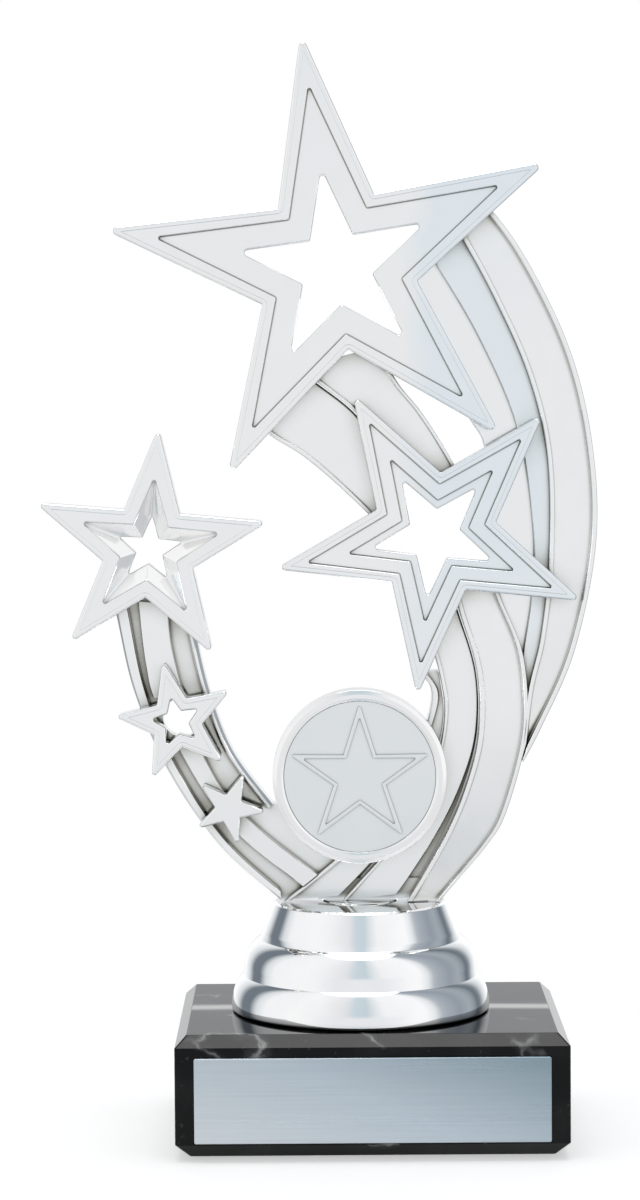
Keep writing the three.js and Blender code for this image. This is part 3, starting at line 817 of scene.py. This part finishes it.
def ribbon_pair(prefix, left, middle, right, end_gap, tilt, look):
    """A flat ribbon on the left and a rimmed one beside it, with a groove between them."""
    grooved(prefix + "_ribbon_left", left, middle, [
        (0, 0, RIBBON_BACK, 0.3),
        *rim(0, 1, 0.7, BAND_FRONT - 0.4, BAND_FRONT),
        (1, 0, BAND_FRONT, 0.4),
        (1, 0, RIBBON_BACK, 0.3),
    ], BAND_FRONT + 1.9, end_gap, look)
    ribbon(prefix + "_ribbon_right", middle, right, [
        (0, 0, RIBBON_BACK - 0.1, 0.3),
        *rim(0, 1, 0.8, RIM_FRONT, RIBBON_FRONT),
        *reversed(rim(1, -1, 0.7, RIM_FRONT, RIBBON_FRONT + tilt)),
        (1, 0, RIBBON_BACK - 0.1, 0.3),
    ], look)


def hook(look):
    """The hooked ribbon at the foot: a raised left rim and a recessed floor."""
    grooved("hook_ribbon", smooth(HOOK_LEFT), smooth(HOOK_RIGHT), [
        (0, 0, RIBBON_BACK - 0.2, 0.3),
        *rim(0, 1, 1.1, -2.4, -1.3, 0.35),
        (1, 0, -1.3, 0.1),
        (1, 0, RIBBON_BACK - 0.2, 0.3),
    ], 0.6, 1.0, look)


def past_window(curve, side):
    """The part of a curve above (1) or below (-1) the window behind the small star."""
    return [p for p in curve if side * (p.y - SWEEP_WINDOW["z"]) > SWEEP_WINDOW["radius"]]


def sweep(look):
    """The left sweep: a plate with a rail on each side and a raised ribbon along its middle."""
    outer = smooth(SWEEP_OUTER)
    inner = smooth(SWEEP_INNER)
    plate_inner = smooth([(-29.3, 53.5)] + SWEEP_INNER[1:])
    plate_inner += [Vector(p) for p in SWEEP_UNDER_HOLDER]
    bore = [(SWEEP_WINDOW["radius"], y) for y in (PLATE_FRONT - 1, RIBBON_BACK + 1)]
    bore_loops = turned_about_y(bore, SWEEP_WINDOW["x"], SWEEP_WINDOW["z"])
    window = solid_object("window", [(bore_loops, False)])
    back = strip_loops(outer, plate_inner, [
        (0, 0, RIBBON_BACK, 0.3),
        (0, 0, PLATE_FRONT, 0.05),
        (1, 0, PLATE_FRONT, 0.05),
        (1, 0, RIBBON_BACK, 0.3),
    ], 96)
    figure_piece("sweep_back", [(back, False)], look, cutter=window)
    rail_foot = 1.6
    rail_inside = [p for p in drifting(outer, 3.0, 1.5, 0.6) if p.y > rail_foot]
    ribbon("sweep_outer_rail", outer, rail_inside, [
        (0, 0, PLATE_FRONT, 0.05),
        (0, 0, RIBBON_FRONT + 0.8, 0.3),
        (0, 0.4, RIBBON_FRONT, 0.25),
        (1, -0.4, RIBBON_FRONT + 0.15, 0.3),
        (1, -0.1, PLATE_FRONT, 0.05),
    ], look)
    for name, side in (("upper", 1), ("lower", -1)):
        left = past_window(smooth(SWEEP_CENTRE_LEFT, 48), side)
        right = past_window(smooth(SWEEP_CENTRE_RIGHT, 48), side)
        ribbon("sweep_centre_ribbon_" + name, left, right, [
            (0, 0, PLATE_FRONT, 0.05),
            (0, 0.15, RIBBON_FRONT, EDGE),
            (1, -0.15, RIBBON_FRONT, EDGE),
            (1, 0, PLATE_FRONT, 0.05),
        ], look)
    inner_rail_width = 1.4
    ribbon("sweep_inner_rail", shifted(inner, -inner_rail_width), inner, [
        (0, 0, PLATE_FRONT, 0.05),
        (0, 0.4, RIBBON_FRONT, 0.3),
        (1, -0.5, RIBBON_FRONT, 0.25),
        (1, 0, RIBBON_FRONT + 0.8, 0.4),
        (1, 0, PLATE_FRONT, 0.05),
    ], look)


# ---- The stars and the medallion ------------------------------------------------------------------


def rounded_side(sizes, back, front, edge, into=1):
    """A star's wall from its back to its front, with both its edges rounded."""
    angles = [math.radians(30 * step) for step in range(4)]
    sweep_in = [(edge * (1 - math.sin(t)), edge * (1 - math.cos(t))) for t in angles]
    at_back = [(sizes, into * inset, back - drop) for inset, drop in sweep_in]
    at_front = [(sizes, into * inset, front + drop) for inset, drop in reversed(sweep_in)]
    return at_back, at_front


def face_layers(star):
    """A star's outer wall, and a fine line scored round its face just inside that wall."""
    wall, front = star["wall"], star["front"]
    outer_back, outer_front = rounded_side(wall, STAR_BACK, front, STAR_EDGE)
    scored = [(wall, 0.8, front), (wall, 0.86, front + 0.05), (wall, 0.92, front)]
    return outer_back + outer_front + scored


def open_star(node, star, look):
    """An open star: its outer wall, any steps down its face, and the wall of its hole."""
    layers = face_layers(star)
    level = star["front"]
    for outline in star["steps"]:
        below = level + STAR_STEP
        layers += [
            (outline, -0.14, level),
            (outline, -0.04, level + 0.04),
            (outline, 0.0, level + 0.14),
            (outline, 0.05, below + 0.05),
            (outline, 0.14, below + 0.05),
            (outline, 0.24, below),
        ]
        level = below
    hole_back, hole_front = rounded_side(star["hole"], STAR_BACK, level, STAR_EDGE, -1)
    layers += list(reversed(hole_front)) + list(reversed(hole_back))
    figure_piece(node, [(star_loops(star, layers), True)], look)


def left_star(look):
    """The left star's recess has short walls, then slopes down to a smaller star's hole."""
    front, mouth, throat = LEFT_STAR["front"], LEFT_STAR["mouth"], LEFT_STAR["throat"]
    layers = face_layers(LEFT_STAR) + [
        (mouth, -0.2, front),
        (mouth, -0.06, front + 0.06),
        (mouth, 0.03, front + 0.24),
        (mouth, 0.1, front + 0.9),
        (throat, -0.12, front + 2.4),
        (throat, 0.0, front + 2.55),
        (throat, 0.0, STAR_BACK),
    ]
    figure_piece("left_star", [(star_loops(LEFT_STAR, layers), True)], look, 40)


def tiny_star(look):
    """The smallest star, a solid one with a plain face."""
    edge = 0.35
    at_back, at_front = rounded_side(TINY_STAR["wall"], STAR_BACK, TINY_STAR["front"], edge)
    figure_piece("tiny_star", [(star_loops(TINY_STAR, at_back + at_front), False)], look)


def medallion(plating, foil):
    """The cup and the disc set in it, with a thin raised star outline on the disc."""
    x, z = HOLDER["x"], HOLDER["z"]
    radius, recess, front, floor = (HOLDER[key] for key in ("radius", "recess", "front", "floor"))
    cup = rounded([
        (0, STAR_BACK, 0),
        (radius, STAR_BACK, 0.3),
        (radius, front + 0.3, 0.1),
        (radius - 0.7, front, 0.1),
        (recess + 0.4, front, 0.1),
        (recess, front + 0.15, 0.08),
        (recess, floor, 0.1),
        (0, floor, 0),
    ], 4)
    figure_piece("medallion_holder", [(turned_about_y(cup, x, z), False)], plating, 40)
    disc = rounded([
        (0, DISC["back"], 0),
        (DISC["radius"], DISC["back"], 0.05),
        (DISC["radius"], DISC["front"], 0.08),
        (0, DISC["front"], 0),
    ], 4)
    outside, inside = DISC_STAR["outside"], DISC_STAR["inside"]
    top = DISC["front"] - DISC["ridge"]
    ridge = star_loops(DISC_STAR, [
        (outside, 0.0, DISC["front"] + 0.1),
        (outside, 0.0, top + 0.04),
        (outside, 0.14, top),
        (inside, -0.14, top),
        (inside, 0.0, top + 0.04),
        (inside, 0.0, DISC["front"] + 0.1),
    ])
    make_piece("medallion_insert", [(turned_about_y(disc, x, z), False), (ridge, True)], foil,
               "figure", 40)


# ---- The studio -----------------------------------------------------------------------------------

# What stands round the object, by bearing in degrees: 0 is towards the camera and 90 is to the
# right. Two white screens leave a narrow gap for the camera. Grey ones stand beyond them, then
# two white ones, and the wall straight behind is duller.
ROOM = [
    (-180, (0.80, 0.81, 0.83)), (-175, (0.82, 0.83, 0.85)), (-167, (1.10, 1.11, 1.12)),
    (-154, (1.00, 1.01, 1.02)), (-142, (0.74, 0.77, 0.79)),
    (-131, (0.18, 0.21, 0.24)), (-117, (0.17, 0.20, 0.23)), (-107, (0.74, 0.77, 0.79)),
    (-96, (0.95, 0.96, 0.97)), (-60, (1.00, 1.00, 1.00)), (-40, (0.96, 0.96, 0.97)),
    (-15, (0.82, 0.83, 0.85)), (-6, (0.62, 0.71, 0.76)), (5, (0.60, 0.69, 0.74)),
    (12, (0.78, 0.82, 0.85)), (22, (0.97, 0.97, 0.98)), (60, (1.03, 1.03, 1.04)),
    (69, (0.84, 0.86, 0.88)), (76, (0.48, 0.52, 0.56)), (82, (0.40, 0.44, 0.49)),
    (98, (0.31, 0.35, 0.40)), (112, (0.38, 0.42, 0.46)), (120, (0.30, 0.34, 0.38)),
    (128, (0.15, 0.18, 0.21)), (134, (0.24, 0.27, 0.30)), (143, (0.68, 0.71, 0.74)),
    (154, (1.00, 1.01, 1.02)), (167, (1.10, 1.11, 1.12)), (175, (0.82, 0.83, 0.85)),
    (180, (0.80, 0.81, 0.83)),
]

# The even light in front that the flat faces mirror, the lamp above, the line of light low on the
# wall behind that the block's top mirrors (by the sine of its angle), and the dimming from below.
HORIZON = (0.86, 0.875, 0.895, 1)
OVERHEAD = (6.5, 6.5, 6.5, 1)
WALL_LINE = math.sin(math.radians(10.6))
WALL_LIGHT = (1.9, 1.9, 1.9, 1)
BELOW = (0.82, 0.82, 0.82, 1)


def room_light(tree, bearing, z):
    """The screens by bearing, with the even light in front of the object at its own level."""
    share = scale_range(tree, bearing, 0, 1, -math.pi, math.pi)
    screens = ramp(tree, share, [((degrees + 180) / 360, colour) for degrees, colour in ROOM])
    in_front = scale_range(tree, maths(tree, "ABSOLUTE", bearing), 1, 0, 0.3, 0.8)
    height = maths(tree, "ABSOLUTE", maths(tree, "ADD", z, 0.03))
    level = scale_range(tree, height, 1, 0, 0.12, 0.26)
    return mixed(tree, maths(tree, "MULTIPLY", in_front, level), screens, HORIZON)


def wall_line(tree, y, z):
    """How much of the line of light lies in a direction: it is thin, and behind the object."""
    off_line = maths(tree, "ABSOLUTE", maths(tree, "SUBTRACT", z, WALL_LINE))
    line = scale_range(tree, off_line, 1, 0, 0.0003, 0.0009)
    behind = scale_range(tree, y, 0, 1, 0.8, 0.9)
    return maths(tree, "MULTIPLY", behind, line)


def make_world():
    """Paints the studio by direction, with a small overhead lamp, and white to the camera."""
    world = bpy.data.worlds.new("studio")
    world.use_nodes = True
    bpy.context.scene.world = world
    tree = world.node_tree
    x, y, z = split_point(tree, add(tree, "ShaderNodeTexCoord").outputs["Generated"])
    bearing = maths(tree, "ARCTAN2", x, maths(tree, "MULTIPLY", y, -1.0))
    room = room_light(tree, bearing, z)
    low = scale_range(tree, z, 0, 1, -0.1, -0.3)
    grounded = mixed(tree, low, room, mixed(tree, 1.0, room, BELOW, "MULTIPLY"))
    lined = mixed(tree, wall_line(tree, y, z), grounded, WALL_LIGHT)
    overhead = scale_range(tree, z, 0, 1, math.sin(math.radians(70)), math.sin(math.radians(76)))
    lit = mixed(tree, overhead, lined, OVERHEAD)
    camera_ray = add(tree, "ShaderNodeLightPath").outputs["Is Camera Ray"]
    seen = mixed(tree, camera_ray, lit, (1, 1, 1, 1))
    tree.links.new(seen, tree.nodes["Background"].inputs["Color"])


def make_floor(look):
    """A level sheet just under the pad."""
    mesh = bmesh.new()
    half, level = 130 * MM, -0.02 * MM
    corners = [(-half, -half), (half, -half), (half, half), (-half, half)]
    mesh.faces.new([mesh.verts.new((x, y, level)) for x, y in corners])
    data = bpy.data.meshes.new("floor")
    mesh.to_mesh(data)
    mesh.free()
    data.materials.append(look)
    floor = bpy.data.objects.new("floor", data)
    bpy.context.scene.collection.objects.link(floor)


# The camera's place, with its height above the block's underside, its lens, its tilt up from
# straight down and its small turn about the line of sight.
CAMERA = {"x": -7.98, "y": -563.8, "above": 125.75, "lens": 101.34, "tilt": 86.256, "roll": -0.385}


def make_camera():
    """A long lens a little above the figure's middle, tilted down and turned by a hair."""
    data = bpy.data.cameras.new("camera")
    data.sensor_width = 36
    data.lens = CAMERA["lens"]
    camera = bpy.data.objects.new("camera", data)
    bpy.context.scene.collection.objects.link(camera)
    spot = Vector((CAMERA["x"], CAMERA["y"], block_low.z + CAMERA["above"])) * MM
    camera.matrix_world = (
        Matrix.Translation(spot)
        @ Matrix.Rotation(math.radians(CAMERA["tilt"]), 4, "X")
        @ Matrix.Rotation(math.radians(CAMERA["roll"]), 4, "Z")
    )
    bpy.context.scene.camera = camera


# ---- Making everything ----------------------------------------------------------------------------


def finish_cad_nodes(looks):
    """Gives the CAD nodes that stay on show their materials."""
    for node, look in looks.items():
        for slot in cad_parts[node].material_slots:
            slot.material = look


def main():
    """Puts every piece in place, then the floor, the light and the camera."""
    # The figure's platings differ only in how strong their painted shade is, and in whether a bluish
    # sky reflection is painted on them.
    plating = plated_look("figure_plating", SILVER, 0.1, 0.16, PAINTED_SHADE, DARK_PAINTED_SHADE_LINES)
    # This plating carries the painted bluish sky reflection.
    sky_reflection_plating = plated_look("sky_reflection_plating", SILVER, 0.1, 0.16, PAINTED_SHADE, DARK_PAINTED_SHADE_LINES, SKY_BLUE)
    # Plating with fainter painted shade, for the left star and the crescent's back plate.
    faint_shade_plating = plated_look("faint_shade_plating", SILVER, 0.1, 0.16, FAINT_PAINTED_SHADE, FAINT_PAINTED_SHADE_LINES)
    chrome = plated_look("riser_plating", CHROME, 0.05, 0.08, NO_PAINTED_SHADE, NO_PAINTED_SHADE)
    zinc = zinc_look()
    glue = adhesive_look()
    marble_block(marble_look())
    engraving_plate(brushed_look())
    riser(chrome)
    crescent(plating, sky_reflection_plating, faint_shade_plating)
    ribbon_pair("upper", smooth(UPPER_LEFT), smooth(UPPER_SPLIT), smooth(UPPER_RIGHT),
                GROOVE, 0.0, plating)
    ribbon_pair("lower", smooth(LOWER_LEFT), smooth(LOWER_SPLIT), smooth(LOWER_RIGHT),
                2.0, TILT, plating)
    hook(plating)
    sweep(plating)
    open_star("big_star", BIG_STAR, sky_reflection_plating)
    open_star("medium_star", MEDIUM_STAR, sky_reflection_plating)
    left_star(faint_shade_plating)
    open_star("small_star", SMALL_STAR, plating)
    tiny_star(plating)
    medallion(plating, disc_look())
    finish_cad_nodes({
        "base_pad": foam_look(),
        "plate_adhesive": glue,
        "medallion_adhesive": glue,
        "plain_washer": zinc,
        "spring_washer": zinc,
        "hex_nut": zinc,
        "clamp_stud": zinc,
        "figure_foot": plating,
    })
    make_floor(floor_look())
    make_world()
    make_camera()
    bpy.context.scene.view_settings.view_transform = "Standard"


main()
